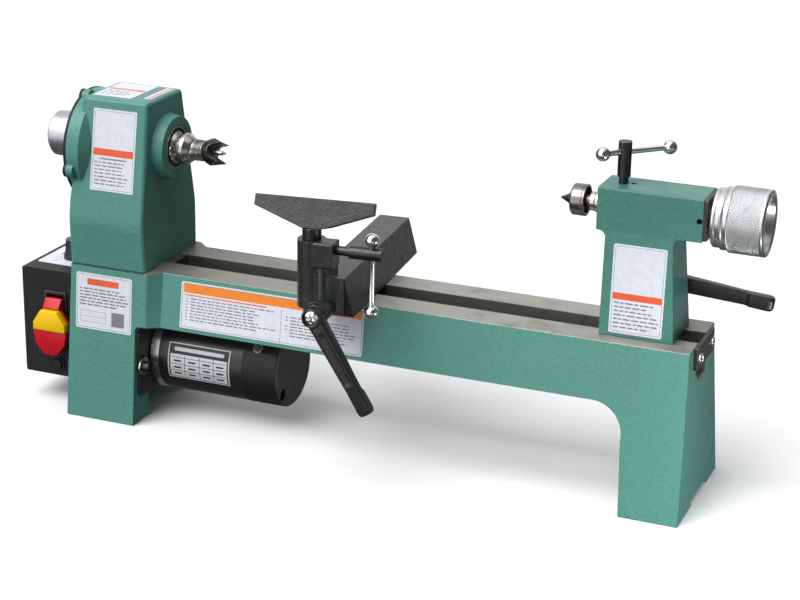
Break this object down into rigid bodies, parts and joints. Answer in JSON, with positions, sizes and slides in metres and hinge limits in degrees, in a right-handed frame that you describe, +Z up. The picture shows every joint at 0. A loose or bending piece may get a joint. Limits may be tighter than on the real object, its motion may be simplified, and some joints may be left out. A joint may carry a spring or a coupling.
{
  "type": "benchtop wood lathe",
  "caption": "Short benchtop wood lathe: cast bed with slotted ways, belt-driven headstock, underslung motor, swinging tool rest and sliding tailstock.",
  "frame": {"origin": "on the bench, at the centre of the four bench bolt holes", "axes": "+X from the headstock to the tailstock, +Y away from the operator, +Z up"},
  "size_m": [0.6739, 0.2265, 0.2984],
  "materials": {
    "green_paint": "orange-peel enamel over cast iron",
    "black_casting": "black enamel",
    "end_plate": "black",
    "bright_steel": "nickel plated",
    "machined_steel": "turned",
    "dark_steel": "black oxide",
    "aluminium": "satin turned",
    "motor_black": "satin black",
    "zinc": "zinc plated",
    "black_plastic": "moulded",
    "box_black": "satin black",
    "scale_white": "printed plate",
    "red_plastic": "moulded",
    "yellow_plastic": "moulded",
    "rubber": "ribbed belt",
    "board": "circuit board"
  },
  "bodies": {
    "bed": {"bed_casting": "green_paint", "bed_end_plate": "end_plate", "bed_end_screws": "bright_steel", "headstock_casting": "green_paint", "headstock_bolts": "dark_steel", "spindle_cover": "box_black", "cover_screws": "dark_steel", "bearing_outer_rings": "machined_steel", "bearing_seals": "rubber", "drive_belt": "rubber", "motor_flange": "aluminium", "motor_can": "motor_black", "motor_end_bell": "motor_black", "motor_bracket": "end_plate", "motor_bolts": "dark_steel", "motor_washers": "zinc", "control_box": "box_black", "speed_scale": "scale_white", "speed_control": "black_plastic", "switch_housing": "black_plastic", "power_inlet": "black_plastic", "motor_controller": "board"},
    "spindle_unit": {"spindle": "machined_steel", "bearing_inner_rings": "machined_steel", "spindle_pulley": "aluminium", "outboard_handwheel": "aluminium", "spur_centre": "dark_steel", "spur_point": "machined_steel"},
    "motor_armature": {"motor_rotor": "machined_steel", "motor_pulley": "aluminium"},
    "toggle": {"switch_toggle": "red_plastic"},
    "key": {"switch_key": "yellow_plastic"},
    "reset": {"reset_button": "black_plastic"},
    "knob": {"speed_knob": "black_plastic"},
    "banjo_clamp": {"banjo_clamp_plate": "machined_steel", "banjo_clamp_bolt": "machined_steel", "banjo_clamp_nut": "zinc"},
    "eye": {"banjo_eye": "machined_steel"},
    "banjo": {"banjo_casting": "black_casting"},
    "banjo_lock": {"banjo_lock_shaft": "machined_steel", "banjo_lock_lever": "black_plastic", "banjo_lever_screw": "bright_steel"},
    "post": {"tool_rest_post": "dark_steel"},
    "rest": {"tool_rest": "black_casting"},
    "rest_screw": {"rest_clamp_screw": "dark_steel"},
    "rest_bar": {"rest_clamp_bar": "bright_steel"},
    "tailstock": {"tailstock_casting": "green_paint", "tailstock_end_plate": "end_plate", "tailstock_clamp_plate": "machined_steel", "tailstock_clamp_bolt": "machined_steel", "tailstock_clamp_nut": "zinc"},
    "tailstock_lock": {"tailstock_lock_shaft": "machined_steel", "tailstock_lock_lever": "black_plastic"},
    "tail_wheel": {"tailstock_screw": "machined_steel", "tailstock_handwheel": "aluminium"},
    "tail_quill": {"quill": "machined_steel", "centre_shank": "machined_steel"},
    "centre": {"live_centre": "dark_steel"},
    "quill_screw": {"quill_lock_screw": "dark_steel"},
    "quill_bar": {"quill_lock_bar": "bright_steel"}
  },
  "joints": [
    {"name": "motor_spin", "type": "hinge", "parent": "bed", "child": "motor_armature", "pos_m": [-0.16, 0, 0.0549], "axis": [1, 0, 0], "continuous": true},
    {"name": "spindle_spin", "type": "hinge", "parent": "bed", "child": "spindle_unit", "pos_m": [-0.224, 0, 0.245], "axis": [1, 0, 0], "continuous": true},
    {"name": "switch_rock", "type": "hinge", "parent": "bed", "child": "toggle", "pos_m": [-0.3073, -0.038, 0.078], "axis": [1, 0, 0], "range_deg": [0, 9]},
    {"name": "key_pull", "type": "slide", "parent": "toggle", "child": "key", "axis": [0, -1, 0], "range_m": [0, 0.015]},
    {"name": "reset_press", "type": "slide", "parent": "bed", "child": "reset", "axis": [0, 1, 0], "range_m": [0, 0.0015], "stiffness_N_per_m": 400, "springref_m": -0.001},
    {"name": "speed_turn", "type": "hinge", "parent": "bed", "child": "knob", "pos_m": [-0.309, -0.002, 0.135], "axis": [0, 0, 1], "range_deg": [0, 270]},
    {"name": "banjo_travel", "type": "slide", "parent": "bed", "child": "banjo_clamp", "axis": [1, 0, 0], "range_m": [-0.11, 0.1]},
    {"name": "banjo_swing", "type": "hinge", "parent": "banjo_clamp", "child": "eye", "pos_m": [-0.0256, 0, 0.152], "axis": [0, 0, 1], "range_deg": [-30, 20]},
    {"name": "banjo_reach", "type": "slide", "parent": "eye", "child": "banjo", "axis": [-0.0889, 0.996, 0], "range_m": [-0.08, 0.015]},
    {"name": "banjo_lock_turn", "type": "hinge", "parent": "banjo", "child": "banjo_lock", "pos_m": [-0.0256, 0, 0.152], "axis": [-0.0889, 0.996, 0], "range_deg": [-40, 75]},
    {"name": "post_height", "type": "slide", "parent": "banjo", "child": "post", "axis": [0, 0, 1], "range_m": [-0.0035, 0.025]},
    {"name": "rest_turn", "type": "hinge", "parent": "post", "child": "rest", "pos_m": [-0.02512, -0.09534, 0.2225], "axis": [0, 0, 1], "range_deg": [-45, 45]},
    {"name": "rest_screw_turn", "type": "hinge", "parent": "banjo", "child": "rest_screw", "pos_m": [0.00277, -0.09285, 0.2045], "axis": [0.996, 0.0889, 0], "range_deg": [-90, 90]},
    {"name": "rest_bar_slide", "type": "slide", "parent": "rest_screw", "child": "rest_bar", "axis": [0, 0, 1], "range_m": [0, 0.012]},
    {"name": "tailstock_travel", "type": "slide", "parent": "bed", "child": "tailstock", "axis": [1, 0, 0], "range_m": [-0.185, 0.015]},
    {"name": "tailstock_lock_turn", "type": "hinge", "parent": "tailstock", "child": "tailstock_lock", "pos_m": [0.2315, 0, 0.175], "axis": [0, 1, 0], "range_deg": [-75, 5]},
    {"name": "quill_wheel", "type": "hinge", "parent": "tailstock", "child": "tail_wheel", "pos_m": [0.29, 0, 0.245], "axis": [-1, 0, 0], "range_deg": [0, 4799]},
    {"name": "quill_feed", "type": "slide", "parent": "tailstock", "child": "tail_quill", "axis": [-1, 0, 0], "range_m": [0, 0.04]},
    {"name": "live_centre_spin", "type": "hinge", "parent": "tail_quill", "child": "centre", "pos_m": [0.175, 0, 0.245], "axis": [1, 0, 0], "continuous": true},
    {"name": "quill_screw_turn", "type": "hinge", "parent": "tailstock", "child": "quill_screw", "pos_m": [0.208, 0, 0.27], "axis": [0, 0, 1], "range_deg": [-180, 180]},
    {"name": "quill_bar_slide", "type": "slide", "parent": "quill_screw", "child": "quill_bar", "axis": [0.6997, 0.7145, 0], "range_m": [-0.03, 0.0085]}
  ],
  "couplings": [
    {"joint": "spindle_spin", "follows": "motor_spin", "ratio": 0.71163},
    {"joint": "quill_feed", "follows": "quill_wheel", "m_per_rad": 0.00047746}
  ]
}
